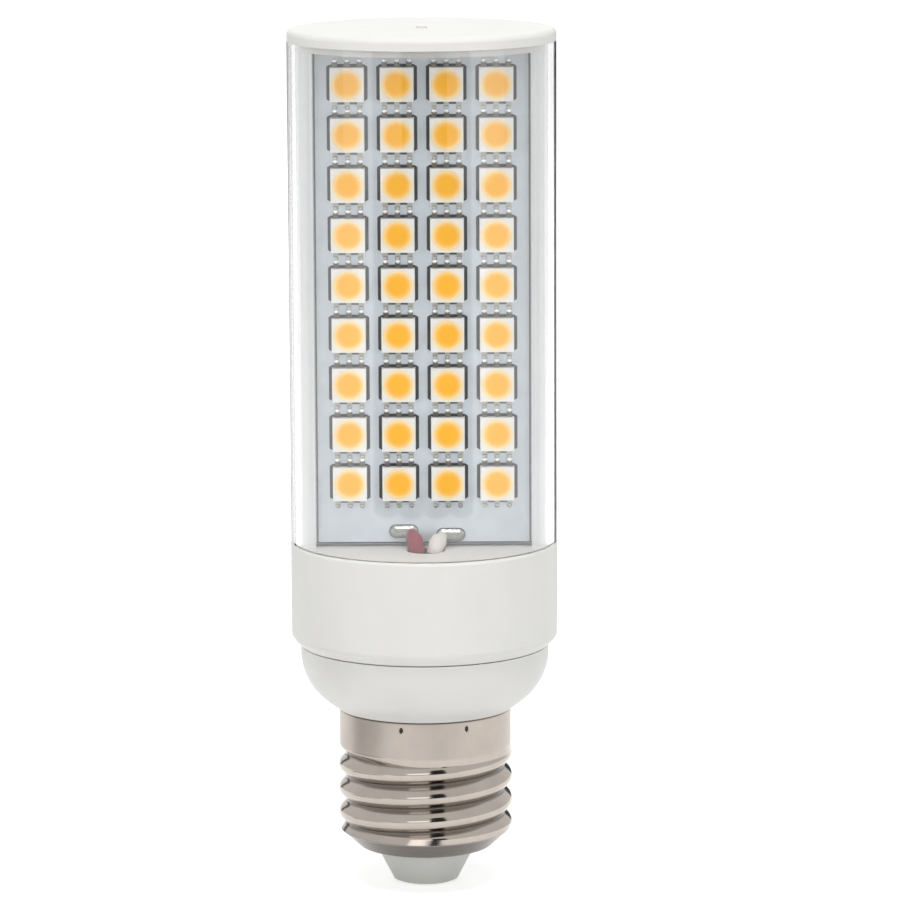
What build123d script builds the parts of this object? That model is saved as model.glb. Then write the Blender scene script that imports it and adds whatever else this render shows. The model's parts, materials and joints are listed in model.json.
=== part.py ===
from build123d import *
import os
from math import atan2, cos, radians, sin, sqrt, tan

# Tubular LED lamp on a screw base. The underside of the centre contact is at
# z = 0 on the lamp's axis, the base points down, and the LEDs face -Y.
# All sizes are millimetres.

# Stack of the lamp along its axis
contact_height = 0.3        # contact below the insulator
insulator_height = 5.25     # insulator below the screw shell
shell_height = 21.35
cup_height = 9.6            # base cup between the shell and the seam
seam_gap = 0.2              # running gap between the base cup and the collar
collar_height = 15.55
cover_length = 74.8         # clear cover and heat sink between collar and cap
cap_thickness = 1.85

# Screw shell, a thin sheet with the usual 27 mm round thread
thread_crest_radius = 13.15
thread_root_radius = 12.0
thread_pitch = 3.63
thread_end_angle = 20.0     # crest at the thread's upper end, from +X
thread_steps = 12           # straight steps in each turn of the thread
sheet = 0.35
band_height = 5.9           # plain band above the thread
band_step = 0.25            # band inside the thread crest
runout_height = 1.0         # thread fading into the band and the dome
dome_height = 2.55
dome_step = 0.35            # dome's upper edge inside the thread crest
dome_foot_radius = 9.95
dome_round = 0.4
mouth_radius = 7.7
punch_angles = (-16.0, 29.0)  # dents that lock the shell to the base cup, from the front
punch_radius = 0.8
punch_depth = 0.22
punch_drop = 1.3            # dents below the shell's upper edge

# Insulator and centre contact
insulator_tip_radius = 4.9
insulator_clearance = 0.1
insulator_flange_radius = 8.9
insulator_flange_height = 1.45
contact_radius = 4.5
contact_round = 0.35
contact_inlay = 0.3         # contact let into the insulator
rivet_radius = 1.2
rivet_clearance = 0.05
rivet_head_radius = 2.0
rivet_head_height = 0.5

# Base cup
cup_foot_step = 0.3         # cup outside the shell's band
cup_cone_rise = 4.0         # cone's corner above the shell
cup_round = 9.0             # round between the cone and the upright wall
cup_edge = 0.2              # least upright wall above the round
cup_wall = 1.6
neck_depth = 5.15           # neck inside the shell's band
neck_clearance = 0.1
neck_wall = 1.4

# Swivel between the base cup and the collar
seam_step = 0.15            # cup inside the collar's foot
spigot_inset = 2.05
spigot_wall = 1.4
bead_height = 0.8
bead_land = 0.4
bead_rise = 1.4             # bead and its lead-in
finger_count = 8
finger_slot = 1.2
finger_root = 0.5
swivel_clearance = 0.2
stop_height = 2.0
stop_half_angle = 7.0
stop_overlap = 0.7
stop_clearance = 0.3

# Collar
tube_radius = 20.0          # collar
collar_chamfer = 1.2
collar_round = 1.5
collar_edge_round = 0.5     # upper edge, at the cover's seam
collar_wall = 1.7
flange_height = 3.0
deck_thickness = 1.9
wire_hole_radius = 2.8
wire_hole_x = 0.3
wire_hole_gap = 0.6         # between the hole and the LED board

# Clear cover
cover_step = 0.1            # cover, heat sink and end cap inside the collar's wall
cover_wall = 1.2
cover_clearance = 0.15
hook_reach = 1.2
hook_thickness = 1.1
hook_clearance = 0.1

# Heat sink
board_offset = 5.5          # LED board's face in front of the axis
plate_thickness = 3.2
shoulder_thickness = 1.3
lip_thickness = 0.9
lip_cover = 0.65            # lip over the edge of the LED board
rail_web = 0.9
fin_pairs = 5
fin_pitch = 3.4
fin_thickness = 1.2
channel_fin = 3             # fin that carries the screw channel
channel_rise = 4.7
channel_radius = 2.3
channel_bore = 1.3
channel_slot = 1.0

# LED board and packages
board_thickness = 1.6
board_clearance = 0.1
board_foot_gap = 0.5
board_head_gap = 0.2
led_width = 4.9
led_height = 5.0
led_thickness = 1.5
led_side_margin = 2.45      # outer packages to the heat sink's lip
led_low_margin = 7.1        # lowest packages to the collar
led_high_margin = 3.4       # highest packages to the end cap
led_rows = 9
led_columns = 4
led_cup_sides = 16
led_cup_radius = 2.15
led_cup_floor_radius = 1.8
led_cup_depth = 0.7
phosphor_clearance = 0.02

# End cap
cap_round = 0.8
cap_lip_depth = 1.0
cap_lip_wall = 1.2
cap_lip_clearance = 0.2
gate_radius = 0.8
gate_height = 0.25
peg_length = 6.0            # pegs pressed into the heat sink's channels
peg_clearance = 0.05

# Screws of the collar
screw_radius = 1.2
screw_length = 9.0
screw_hole_clearance = 0.4
screw_head_radius = 2.5
screw_head_height = 1.0
screw_head_chamfer = 0.35
cross_width = 0.7
cross_length = 3.0
cross_depth = 0.5

# Driver
driver_thickness = 1.2
driver_edge_gap = 0.75      # driver board's edge to the neck
driver_lift = 7.4           # driver board above the insulator
driver_drop = 7.6           # driver board below the collar's deck
guide_reach = 1.6
guide_width = 0.95
guide_height = 6.0
guide_floor = 1.1
guide_clearance = 0.1
part_gap = 0.8
resistor_radius = 1.6
resistor_length = 8.5
rectifier_size = (4.8, 2.4, 3.9)
chip_size = (3.9, 1.5, 4.9)
input_capacitor_radius = 4.0
input_capacitor_height = 11.5
output_capacitor_radius = 3.15
output_capacitor_height = 7.0
capacitor_groove_depth = 0.25
capacitor_groove_width = 0.5
capacitor_groove_rise = 0.75
inductor_radius = 4.0
inductor_height = 9.0
inductor_flange = 1.2
inductor_waist = 0.8

# Wires
lead_radius = 0.65
lead_spread = 4.5           # live lead beside the axis, at the driver
lead_drop = 2.4             # neutral lead's corner below the driver board
lead_bend = 1.5
lead_end_gap = 0.05         # neutral lead's end to the shell
led_wire_radius = 1.2
led_wire_spread = 1.4       # wires beside the axis, at the driver
led_wire_rise = 3.8         # straight part above the driver
led_wire_gap = 0.2          # wires above the driver board
led_wire_climb = 1.6
led_wire_bends = (2.4, 1.9, 1.8)
red_wire_x = -1.05
white_wire_x = 1.6
red_wire_reach = 0.75       # wire ends to the sides of the hole
white_wire_reach = 1.2
wire_tip_radius = 0.6
wire_taper = 1.6            # drawn end of each wire
wire_knee = 0.5             # last bend above the collar's deck
wire_end_lift = 0.1
red_wire_end_height = 2.3
white_wire_end_height = 1.75
solder_length = 4.05
solder_width = 1.75
solder_height = 0.8
solder_chamfer = 0.4
solder_cover = 0.85         # wire end inside the solder

# Heights that the stack gives
insulator_bottom = contact_height
shell_bottom = insulator_bottom + insulator_height
shell_top = shell_bottom + shell_height
cup_top = shell_top + cup_height
collar_bottom = cup_top + seam_gap
collar_top = collar_bottom + collar_height
cap_seat = collar_top + cover_length
lamp_top = cap_seat + cap_thickness
deck_bottom = collar_top - deck_thickness
dome_top = shell_bottom + dome_height
thread_low = dome_top + runout_height
band_bottom = shell_top - band_height
thread_high = band_bottom - runout_height
shell_floor = shell_bottom + sheet
insulator_top = shell_floor + insulator_flange_height
rivet_top = insulator_top + rivet_head_height
neck_bottom = shell_top - neck_depth
flange_top = collar_bottom + flange_height
bead_bottom = flange_top + swivel_clearance
spigot_top = bead_bottom + bead_rise
stop_top = spigot_top + stop_height
driver_bottom = insulator_top + driver_lift
driver_top = deck_bottom - driver_drop
guide_bottom = neck_bottom + guide_floor

# Radii that follow from the thread and the tube
thread_mean_radius = (thread_crest_radius + thread_root_radius) / 2
thread_offset = (thread_crest_radius - thread_root_radius) / 2
thread_length = thread_high - thread_low
thread_turn = 360 * thread_length / thread_pitch
band_radius = thread_crest_radius - band_step
dome_radius = thread_crest_radius - dome_step
dome_slope = (dome_radius - dome_foot_radius) / dome_height
dome_foot_inside = dome_foot_radius + sheet * (dome_slope - 1)
neck_radius = band_radius - sheet - neck_clearance
neck_inside = neck_radius - neck_wall
collar_foot_radius = tube_radius - collar_chamfer
collar_inside = tube_radius - collar_wall
cup_foot_radius = band_radius + cup_foot_step
cup_radius = collar_foot_radius - seam_step
cup_turn = atan2(cup_radius - cup_foot_radius, cup_cone_rise)
spigot_radius = cup_radius - spigot_inset
spigot_inside = spigot_radius - spigot_wall
bead_radius = spigot_radius + bead_height
flange_inside = spigot_radius + swivel_clearance
stop_inside = bead_radius - stop_overlap + swivel_clearance
body_radius = tube_radius - cover_step
cover_inside = body_radius - cover_wall
rail_radius = cover_inside - cover_clearance

# Section of the heat sink, from the LED board's face backwards
board_front = -board_offset
board_back = board_front + board_thickness
lip_front = board_front - board_clearance - lip_thickness
plate_back = board_back + plate_thickness
shoulder_y = plate_back - shoulder_thickness
hook_back = shoulder_y - hook_clearance
hook_front = hook_back - hook_thickness
groove_front = hook_front - hook_clearance
hook_x = cover_inside - hook_reach
groove_x = hook_x - cover_clearance
slot_x = sqrt(rail_radius**2 - lip_front**2) - rail_web
board_half_width = slot_x - board_clearance
lip_x = board_half_width - lip_cover
channel_x = channel_fin * fin_pitch
channel_y = plate_back + channel_rise
wire_hole_y = board_front - wire_hole_gap - wire_hole_radius
driver_half_width = neck_inside - driver_edge_gap
driver_face = driver_thickness / 2

UP = (Align.CENTER, Align.CENTER, Align.MIN)
FRONT = Plane((0, board_front, 0), x_dir=(1, 0, 0), z_dir=(0, -1, 0))


def span(x_low, x_high, y_low, y_high):
    """Rectangle between two pairs of sides."""
    centre = Pos((x_low + x_high) / 2, (y_low + y_high) / 2)
    return centre * Rectangle(x_high - x_low, y_high - y_low)


def block(x_low, x_high, y_low, y_high, z_low, z_high):
    """Box between three pairs of sides."""
    return Pos(0, 0, z_low) * extrude(span(x_low, x_high, y_low, y_high), z_high - z_low)


def turned(*points, rounds=()):
    """Solid turned about the lamp's axis from (radius, height) points."""
    outline = Polygon(*points, align=None)
    for point, radius in rounds:
        outline = fillet(outline.vertices().sort_by_distance((*point, 0))[0], radius)
    return revolve(Plane.XZ * outline, Axis.Z)


def sector(inner, outer, angle, half_angle, z_low, z_high):
    """Piece of a ring about the axis, centred on an angle."""
    reach = 2 * outer
    side = reach * tan(radians(half_angle))
    wedge = Rot(0, 0, angle) * Polygon((0, 0), (reach, -side), (reach, side), align=None)
    ring = Circle(outer) - Circle(inner)
    return Pos(0, 0, z_low) * extrude(ring & wedge, z_high - z_low)


def wire(radius, points, bends):
    """Round wire along straight runs joined by tangent arcs."""
    path = FilletPolyline(*points, radius=bends)
    section = Plane(path @ 0, z_dir=path % 0) * Circle(radius)
    return sweep(section, path=path)


def mirrored(shape):
    """Shape and its mirror image across the lamp's middle plane."""
    return shape + mirror(shape, about=Plane.YZ)


def thread_skin(inset):
    """Inside of the rolled thread: circles whose centres climb round the axis."""
    steps = round(thread_steps * thread_turn / 360)
    sections = [Pos(0, 0, dome_top) * Circle(dome_radius - inset)]
    for index in range(steps + 1):
        angle = radians(thread_end_angle - thread_turn * (1 - index / steps))
        height = thread_low + thread_length * index / steps
        centre = Pos(thread_offset * cos(angle), thread_offset * sin(angle), height)
        sections.append(centre * Circle(thread_mean_radius - inset))
    sections.append(Pos(0, 0, band_bottom) * Circle(band_radius - inset))
    return loft(sections, ruled=True)


def screw_shell():
    """Rolled shell: dome with a mouth, round thread and punched plain band."""
    thread = thread_skin(0) - thread_skin(sheet)
    band = turned(
        (band_radius - sheet, band_bottom), (band_radius, band_bottom),
        (band_radius, shell_top), (band_radius - sheet, shell_top),
    )
    for angle in punch_angles:
        place = Pos(0, punch_depth - punch_radius - band_radius, shell_top - punch_drop)
        dent = Rot(0, 0, angle) * place * Sphere(punch_radius)
        band -= [dent, Rot(0, 0, 180) * dent]
    foot = (dome_foot_radius, shell_bottom)
    dome = turned(
        (mouth_radius, shell_bottom), foot, (dome_radius, dome_top),
        (dome_radius - sheet, dome_top), (dome_foot_inside, shell_floor),
        (mouth_radius, shell_floor), rounds=[(foot, dome_round)],
    )
    return thread + band + dome


def base_insulator():
    """Cone between the shell and the contact, with a flange inside the shell."""
    bore = rivet_radius + rivet_clearance
    collar = mouth_radius - insulator_clearance
    seat = insulator_bottom + contact_inlay
    seat_radius = contact_radius + insulator_clearance
    return turned(
        (bore, seat), (seat_radius, seat), (seat_radius, insulator_bottom),
        (insulator_tip_radius, insulator_bottom), (collar, shell_bottom),
        (collar, shell_floor), (insulator_flange_radius, shell_floor),
        (insulator_flange_radius, insulator_top), (bore, insulator_top),
    )


def centre_contact():
    """Contact disc riveted through the insulator."""
    rim = (contact_radius, 0)
    disc_top = insulator_bottom + contact_inlay
    return turned(
        (0, 0), rim, (contact_radius, disc_top), (rivet_radius, disc_top),
        (rivet_radius, insulator_top), (rivet_head_radius, insulator_top),
        (rivet_head_radius, rivet_top), (0, rivet_top), rounds=[(rim, contact_round)],
    )


def snap_spigot():
    """Ring of snap fingers on the base cup, with one stop tab."""
    ring = turned(
        (spigot_inside, cup_top - finger_root), (spigot_radius, cup_top - finger_root),
        (spigot_radius, bead_bottom), (bead_radius, bead_bottom),
        (bead_radius, bead_bottom + bead_land), (spigot_radius, spigot_top),
        (spigot_inside, spigot_top),
    )
    slot = block(0, 2 * bead_radius, -finger_slot / 2, finger_slot / 2, cup_top + finger_root, stop_top)
    for index in range(finger_count):
        ring -= Rot(0, 0, (index + 0.5) * 360 / finger_count) * slot
    tab = sector(spigot_inside, spigot_radius, 90, stop_half_angle, bead_bottom, stop_top)
    tab += sector(spigot_inside, bead_radius, 90, stop_half_angle, spigot_top, stop_top)
    return ring + tab


def driver_guides():
    """Ribs in the neck that hold the driver board by its edges."""
    inner = driver_half_width - guide_reach / 2
    outer = neck_radius - neck_wall / 2
    gap = driver_face + guide_clearance
    rib = block(inner, outer, gap, gap + guide_width, neck_bottom, guide_bottom + guide_height)
    rib += mirror(rib, about=Plane.XZ)
    rib += block(inner, outer, -gap, gap, neck_bottom, guide_bottom)
    return mirrored(rib)


def base_cup():
    """Bowl over the screw shell, open inside, with its neck and snap ring."""
    corner = (cup_radius, shell_top + cup_cone_rise)
    room = cup_height - cup_cone_rise
    cup_fillet = min(cup_round, (room - cup_edge) / tan(cup_turn / 2))
    bowl = turned(
        (0, neck_bottom), (neck_radius, neck_bottom), (neck_radius, shell_top),
        (cup_foot_radius, shell_top), corner, (cup_radius, cup_top), (0, cup_top),
        rounds=[(corner, cup_fillet)],
    )
    inside_foot = cup_foot_radius - cup_wall / cos(cup_turn)
    low = shell_top + (neck_inside - inside_foot) / tan(cup_turn)
    high = shell_top + (spigot_inside - inside_foot) / tan(cup_turn)
    hollow = turned(
        (0, neck_bottom), (neck_inside, neck_bottom), (neck_inside, low),
        (spigot_inside, high), (spigot_inside, cup_top), (0, cup_top),
    )
    return bowl - hollow + snap_spigot() + driver_guides()


def collar():
    """Collar over the swivel, with the deck that carries the lamp's upper part."""
    edge = (tube_radius, collar_bottom + collar_chamfer)
    rim = (tube_radius, collar_top)
    body = turned(
        (flange_inside, collar_bottom), (collar_foot_radius, collar_bottom), edge, rim,
        (0, collar_top), (0, deck_bottom), (collar_inside, deck_bottom),
        (collar_inside, flange_top), (flange_inside, flange_top),
        rounds=[(edge, collar_round), (rim, collar_edge_round)],
    )
    root = collar_inside + collar_wall / 2
    body += sector(stop_inside, root, -90, stop_half_angle, spigot_top + stop_clearance, stop_top)
    hole = Cylinder(wire_hole_radius, deck_thickness, align=UP)
    body -= Pos(wire_hole_x, wire_hole_y, deck_bottom) * hole
    screw_hole = Cylinder(screw_radius + screw_hole_clearance, deck_thickness, align=UP)
    return body - mirrored(Pos(channel_x, channel_y, deck_bottom) * screw_hole)


def tapping_screw():
    """Pan-head screw with a cross, pointing down from the seat of its head."""
    head = Cylinder(screw_head_radius, screw_head_height, align=UP)
    head = chamfer(head.edges().group_by(Axis.Z)[-1], screw_head_chamfer)
    bar = Box(cross_length, cross_width, 2 * cross_depth)
    cross = Pos(0, 0, screw_head_height) * (bar + Rot(0, 0, 90) * bar)
    shank = Pos(0, 0, -screw_length) * Cylinder(screw_radius, screw_length, align=UP)
    return head - cross + shank


def collar_screws():
    """Two screws that hold the collar's deck to the heat sink."""
    screw = Rot(180, 0, 0) * tapping_screw()
    return Compound([(Pos(side * channel_x, channel_y, deck_bottom) * screw).solid() for side in (-1, 1)])


def heat_sink():
    """Extruded heat sink: plate, board rails, shoulders, fins and screw channels."""
    disc = Circle(body_radius)
    plate = span(-groove_x, groove_x, board_back, plate_back)
    shoulders = span(-body_radius, body_radius, shoulder_y, plate_back) & disc
    rail = span(lip_x, body_radius, lip_front, groove_front) & Circle(rail_radius)
    rail -= span(0, slot_x, board_front - board_clearance, board_back)
    section = plate + shoulders + mirrored(rail)
    half = fin_thickness / 2
    for index in range(-fin_pairs, fin_pairs + 1):
        x = index * fin_pitch
        section += span(x - half, x + half, plate_back - half, body_radius) & disc
    channel = Pos(channel_x, channel_y)
    section += mirrored(channel * Circle(channel_radius))
    mouth = channel_x - channel_radius - half
    gap = channel_slot / 2
    bore = channel * Circle(channel_bore) + span(mouth, channel_x, channel_y - gap, channel_y + gap)
    section -= mirrored(bore)
    return Pos(0, 0, collar_top) * extrude(section, cover_length)


def clear_cover():
    """Half-round clear cover with hooks that slide into the heat sink."""
    front = span(-body_radius, body_radius, -body_radius, hook_back)
    wall = (Circle(body_radius) - Circle(cover_inside)) & front
    hook = span(hook_x, body_radius, hook_front, hook_back) & Circle(body_radius - cover_wall / 2)
    return Pos(0, 0, collar_top) * extrude(wall + mirrored(hook), cover_length)


def led_board():
    """Metal-core board that carries the LEDs."""
    return block(
        -board_half_width, board_half_width, board_front, board_back,
        collar_top + board_foot_gap, cap_seat - board_head_gap,
    )


def led_spread(low, high, size, count):
    """Even places for packages of one size between two limits."""
    pitch = (high - low - size) / (count - 1)
    return [low + size / 2 + index * pitch for index in range(count)]


def led_places():
    """Place of each package on the board's face, by row from the top and column."""
    side = lip_x - led_side_margin
    columns = led_spread(-side, side, led_width, led_columns)
    rows = led_spread(collar_top + led_low_margin, cap_seat - led_high_margin, led_height, led_rows)
    rows.reverse()
    return {
        f"led_r{row}_c{column}": FRONT * Pos(x, z, 0)
        for row, z in enumerate(rows, 1)
        for column, x in enumerate(columns, 1)
    }


def led_fill(clearance):
    """Contents of a package's cup, which tapers to its floor."""
    floor = RegularPolygon(led_cup_floor_radius - clearance, led_cup_sides)
    brim = RegularPolygon(led_cup_radius - clearance, led_cup_sides)
    return loft([Pos(0, 0, led_thickness - led_cup_depth) * floor, Pos(0, 0, led_thickness) * brim])


def led_housing():
    """White package with a round cup in its face."""
    return Box(led_width, led_height, led_thickness, align=UP) - led_fill(0)


def end_cap():
    """Cap on the tube's end, with a lip inside the cover and pegs for the heat sink."""
    rim = (body_radius, lamp_top)
    cap = turned((0, cap_seat), (body_radius, cap_seat), rim, (0, lamp_top), rounds=[(rim, cap_round)])
    lip_outer = cover_inside - cap_lip_clearance
    lip = Circle(lip_outer) - Circle(lip_outer - cap_lip_wall)
    lip &= span(-body_radius, body_radius, -body_radius, lip_front - cap_lip_clearance)
    cap += Pos(0, 0, cap_seat - cap_lip_depth) * extrude(lip, cap_lip_depth)
    cap += Pos(0, 0, lamp_top) * Cylinder(gate_radius, gate_height, align=UP)
    peg = Cylinder(channel_bore - peg_clearance, peg_length, align=UP)
    return cap + mirrored(Pos(channel_x, channel_y, cap_seat - peg_length) * peg)


def driver_board():
    """Driver's circuit board, standing in the neck on its shoulders."""
    tail = driver_half_width - guide_reach / 2 - guide_clearance
    board = block(-tail, tail, -driver_face, driver_face, driver_bottom, guide_bottom)
    return board + block(
        -driver_half_width, driver_half_width, -driver_face, driver_face, guide_bottom, driver_top
    )


def seated_box(size, side, z_low):
    """Flat component on one side of the driver board."""
    width, depth, height = size
    near = side * driver_face
    far = near + side * depth
    return block(-width / 2, width / 2, min(near, far), max(near, far), z_low, z_low + height)


def capacitor(radius, height, side, z_low):
    """Can with a rolled groove near its foot, beside the driver board."""
    can = Cylinder(radius, height, align=UP)
    groove = Cylinder(radius, capacitor_groove_width, align=UP)
    groove -= Cylinder(radius - capacitor_groove_depth, capacitor_groove_width, align=UP)
    can -= Pos(0, 0, capacitor_groove_rise) * groove
    return Pos(0, side * (driver_face + radius), z_low) * can


def drum_inductor(side, z_low):
    """Drum core with its winding between two flanges."""
    drum = Cylinder(inductor_radius, inductor_height, align=UP)
    winding = inductor_height - 2 * inductor_flange
    waist = Cylinder(inductor_radius, winding, align=UP)
    waist -= Cylinder(inductor_radius - inductor_waist, winding, align=UP)
    drum -= Pos(0, 0, inductor_flange) * waist
    return Pos(0, side * (driver_face + inductor_radius), z_low) * drum


def driver_parts():
    """Components of the driver, up its front and its back from both ends."""
    low = driver_bottom + part_gap
    input_low = low + 2 * resistor_radius + part_gap
    output_low = driver_top - part_gap - output_capacitor_height
    chip_low = low + rectifier_size[2] + part_gap
    inductor_low = driver_top - part_gap - inductor_height
    resistor = Rot(0, 90, 0) * Cylinder(resistor_radius, resistor_length)
    return {
        "fusible_resistor": Pos(0, -driver_face - resistor_radius, low + resistor_radius) * resistor,
        "bridge_rectifier": seated_box(rectifier_size, 1, low),
        "input_capacitor": capacitor(input_capacitor_radius, input_capacitor_height, -1, input_low),
        "control_chip": seated_box(chip_size, 1, chip_low),
        "drum_inductor": drum_inductor(1, inductor_low),
        "output_capacitor": capacitor(output_capacitor_radius, output_capacitor_height, -1, output_low),
    }


def live_wire():
    """Lead from the centre contact to the driver board."""
    middle = (rivet_top + driver_bottom) / 2
    points = [(0, 0, rivet_top), (0, 0, middle - lead_bend), (-lead_spread, 0, middle + lead_bend)]
    points.append((-lead_spread, 0, driver_bottom))
    return wire(lead_radius, points, [lead_bend, lead_bend])


def neutral_wire():
    """Lead from the driver board square onto the inside of the shell's dome."""
    end_z = (shell_floor + dome_top) / 2
    end_x = dome_radius - sheet - lead_end_gap - (dome_top - end_z) * dome_slope
    corner_z = driver_bottom - lead_drop
    corner_x = end_x - (corner_z - end_z) / dome_slope
    points = [(corner_x, 0, driver_bottom), (corner_x, 0, corner_z), (end_x, 0, end_z)]
    return wire(lead_radius, points, [lead_bend])


def led_wire_points(side, hole_x, end_x, end_height):
    """Route of an LED wire, from the driver through the deck to the LED board."""
    driver_x = side * led_wire_spread
    start_z = driver_top + led_wire_gap
    turn_z = start_z + led_wire_rise
    end_y = board_front - wire_tip_radius - wire_end_lift
    return [
        (driver_x, 0, start_z),
        (driver_x, 0, turn_z),
        (hole_x, wire_hole_y, turn_z + led_wire_climb),
        (hole_x, wire_hole_y, collar_top + wire_knee),
        (end_x, end_y, collar_top + end_height),
    ]


def led_wire(route):
    """LED wire along its route, drawn thinner where it is soldered."""
    tip = Vector(route[-1])
    along = (tip - Vector(route[-2])).normalized()
    shoulder = tip - along * wire_taper
    body = wire(led_wire_radius, [*route[:-1], shoulder], led_wire_bends)
    thick = Plane(shoulder, z_dir=along) * Circle(led_wire_radius)
    thin = Plane(tip, z_dir=along) * Circle(wire_tip_radius)
    return body + loft([thick, thin])


def led_wires():
    """Red and white wire and the two solder joints on the LED board."""
    red_end = red_wire_x - red_wire_reach
    white_end = white_wire_x + white_wire_reach
    red_route = led_wire_points(-1, red_wire_x, red_end, red_wire_end_height)
    white_route = led_wire_points(1, white_wire_x, white_end, white_wire_end_height)
    red = led_wire(red_route)
    white = led_wire(white_route)
    left = solder_joint(red_end, -1, red_wire_end_height) - red
    right = solder_joint(white_end, 1, white_wire_end_height) - white
    return red, white, Compound([left.solid(), right.solid()])


def solder_joint(end_x, side, height):
    """Rounded pad of solder around the end of an LED wire."""
    centre = end_x + side * (solder_length / 2 - solder_cover)
    pad = extrude(SlotOverall(solder_length, solder_width), solder_height)
    pad = chamfer(pad.edges().group_by(Axis.Z)[-1], solder_chamfer)
    return FRONT * Pos(centre, collar_top + height, 0) * pad


def lamp_nodes():
    """Every piece of the lamp by its name."""
    places = led_places()
    housing = led_housing()
    phosphor = led_fill(phosphor_clearance)
    red, white, solder = led_wires()
    nodes = {
        "centre_contact": centre_contact(),
        "base_insulator": base_insulator(),
        "screw_shell": screw_shell(),
        "base_cup": base_cup(),
        "driver_board": driver_board(),
        "live_wire": live_wire(),
        "neutral_wire": neutral_wire(),
        "collar": collar(),
        "collar_screws": collar_screws(),
        "heat_sink": heat_sink(),
        "led_board": led_board(),
        "led_phosphors": Compound([(place * phosphor).solid() for place in places.values()]),
        "red_wire": red,
        "white_wire": white,
        "board_solder_joints": solder,
        "clear_cover": clear_cover(),
        "end_cap": end_cap(),
    }
    nodes.update(driver_parts())
    nodes.update({name: place * housing for name, place in places.items()})
    return nodes


os.makedirs("parts", exist_ok=True)
for node_name, node in lamp_nodes().items():
    export_step(node, f"parts/{node_name}.step")
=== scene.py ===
import json
import math

import bmesh
import bpy
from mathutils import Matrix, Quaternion, Vector


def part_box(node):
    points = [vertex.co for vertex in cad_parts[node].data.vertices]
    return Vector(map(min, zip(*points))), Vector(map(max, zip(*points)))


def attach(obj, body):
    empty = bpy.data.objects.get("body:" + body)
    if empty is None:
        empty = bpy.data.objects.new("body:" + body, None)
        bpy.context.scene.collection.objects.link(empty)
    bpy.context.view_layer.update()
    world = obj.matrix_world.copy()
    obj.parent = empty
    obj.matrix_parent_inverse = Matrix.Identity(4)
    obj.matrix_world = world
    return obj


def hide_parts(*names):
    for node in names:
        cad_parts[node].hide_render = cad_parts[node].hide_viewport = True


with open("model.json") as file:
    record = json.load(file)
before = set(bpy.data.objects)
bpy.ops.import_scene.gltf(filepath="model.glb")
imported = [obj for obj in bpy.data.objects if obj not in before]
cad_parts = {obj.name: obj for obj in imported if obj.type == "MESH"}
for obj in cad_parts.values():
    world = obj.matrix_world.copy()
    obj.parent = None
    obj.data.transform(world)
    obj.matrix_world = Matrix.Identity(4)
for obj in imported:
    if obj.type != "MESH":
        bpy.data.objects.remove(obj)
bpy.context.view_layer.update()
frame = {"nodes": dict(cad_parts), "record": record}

MM = 0.001

# The camera of the photo: a long lens a little above the lamp's middle
CAMERA_TARGET = Vector((3.93, 0, 65.75)) * MM
CAMERA_DISTANCE = 741.07 * MM
CAMERA_ELEVATION = math.radians(9.46)
CAMERA_ROLL = math.radians(-0.27)
CAMERA_LENS = 198.2
CAMERA_SENSOR = 36.0
CAMERA_CLIP = 10 * MM

# LED leads and their solder, beside each package on the board
LEAD_OFFSETS = (-1.8 * MM, 0, 1.8 * MM)
LEAD_WIDTH = 0.75 * MM
LEAD_THICKNESS = 0.15 * MM
LEAD_HEIGHT = 0.6 * MM
LEAD_FOOT = 0.75 * MM
SOLDER_RADIUS = 0.38 * MM
SOLDER_HEIGHT = 0.3 * MM

# Phosphor cup of each package: share of the pale tone by distance from its middle
CUP_RADIUS = 2.15 * MM
CUP_TONES = ((0, 0), (0.58, 0.03), (0.76, 0.22), (0.9, 0.62), (1, 1))
CUP_GLOW = (0.95, 1.22)

# Share of the lamps' light that passes each face of the cover
COVER_PASS = 0.64

# Rolled screw shell, with the sizes of its CAD solid
THREAD_CREST = 13.15 * MM
THREAD_ROOT = 12.0 * MM
THREAD_PITCH = 3.63 * MM
THREAD_END = math.radians(20)
THREAD_RUNOUT = 1.0 * MM
THREAD_SOFTNESS = 0.16
SHEET = 0.35 * MM
BAND_RADIUS = 12.9 * MM
BAND_HEIGHT = 5.9 * MM
DOME_RADIUS = 12.8 * MM
DOME_FOOT = 9.95 * MM
DOME_HEIGHT = 2.55 * MM
DOME_ROUND = 0.4 * MM
MOUTH_RADIUS = 7.7 * MM
PUNCH_ANGLES = [math.radians(angle) for angle in (-106, -61, 74, 119)]
PUNCH_DROP = 1.3 * MM
PUNCH_DEPTH = 0.3 * MM
PUNCH_WIDTH = 0.32 * MM
PUNCH_LENGTH = 0.52 * MM

# How finely the shell is divided
SHELL_SEGMENTS = 144
PUNCH_STEP = math.radians(0.3)
PUNCH_SIDE_STEPS = 7
PUNCH_RINGS = 6
ROUND_STEPS = 5
DOME_SHARES = (0.4, 0.7, 0.95, 1.0)
RUN_IN_SHARES = (0.08, 0.3, 0.55, 0.8)
RUN_OUT_SHARES = (0.2, 0.45, 0.7, 0.92)
RINGS_PER_TURN = 40
EDGE_RING = 0.1 * MM
SHARP_EDGE = math.radians(50)

# Painted shade in the floor of the thread's grooves
GROOVE_SHADE = 0.28 * MM
GROOVE_TONE = 0.3

# Roughness of the shell's zones
DOME_ROUGHNESS = 0.3
THREAD_ROUGHNESS = 0.12
BAND_ROUGHNESS = 0.36

# Dark brackets round each package, and painted shadow along its leads, at the board's edges and foot
# and round the wire joints
MARK_HEIGHT = 0.02 * MM
BRACKET_GAP = 0.03 * MM
BRACKET_WIDTH = 0.48 * MM
BRACKET_LENGTH = 5.4 * MM
BRACKET_LIFT = 0.2 * MM
BRACKET_RETURN = 0.3 * MM
LEAD_SHADOW_HEIGHT = 0.48 * MM
EDGE_SHADOW_LINE = 0.22 * MM
EDGE_SHADOW_GAP = 0.05 * MM
FOOT_SHADOW_LINE = 0.18 * MM
PAD_SHADE_LINE = 0.14 * MM
PAD_POINTS = 24
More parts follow.
